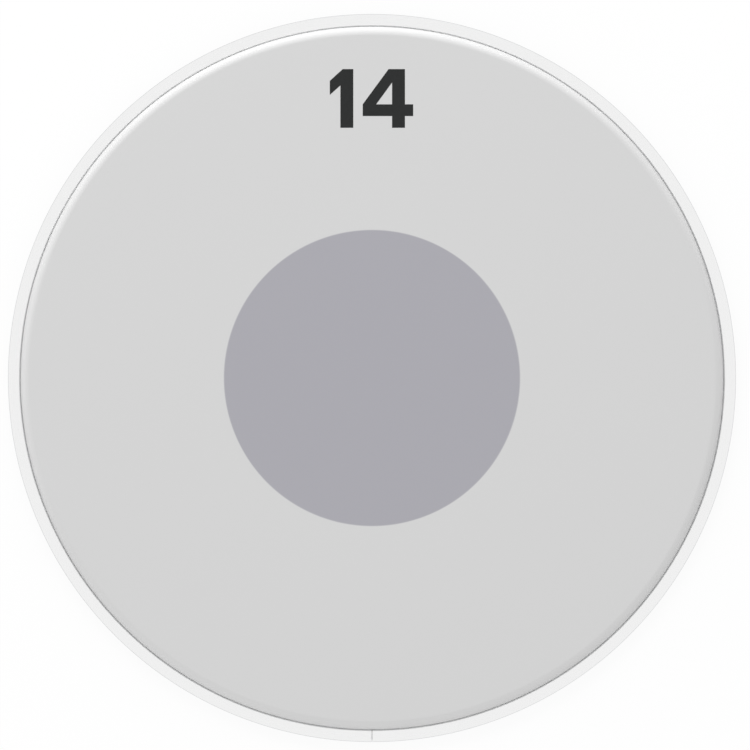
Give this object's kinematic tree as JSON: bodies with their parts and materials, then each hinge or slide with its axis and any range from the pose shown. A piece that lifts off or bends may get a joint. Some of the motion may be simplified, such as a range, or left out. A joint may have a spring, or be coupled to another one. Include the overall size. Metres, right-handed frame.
{
  "type": "drum head",
  "caption": "Round white film drum head with a formed collar, a damping patch under its middle and a rolled aluminium flesh hoop cast full of resin.",
  "frame": {"origin": "centre of the flesh hoop's foot, on the head's axis; the head lies on its hoop with the playing face up", "axes": "+Z along the head's axis, out of the playing face; +Y towards the printed mark; -Y towards the hoop's seam"},
  "size_m": [0.373, 0.373, 0.016],
  "materials": {
    "film": "white-coated polyester film, satin",
    "hoop": "bright drawn aluminium",
    "joiner": "mill finish",
    "resin": "cast epoxy resin",
    "adhesive": "clear pressure-sensitive adhesive",
    "dot": "black polyester film, satin"
  },
  "bodies": {
    "root": {"head_film": "film", "flesh_hoop": "hoop", "hoop_joiner": "joiner", "hoop_resin": "resin", "dot_adhesive": "adhesive", "centre_dot": "dot"}
  },
  "joints": []
}
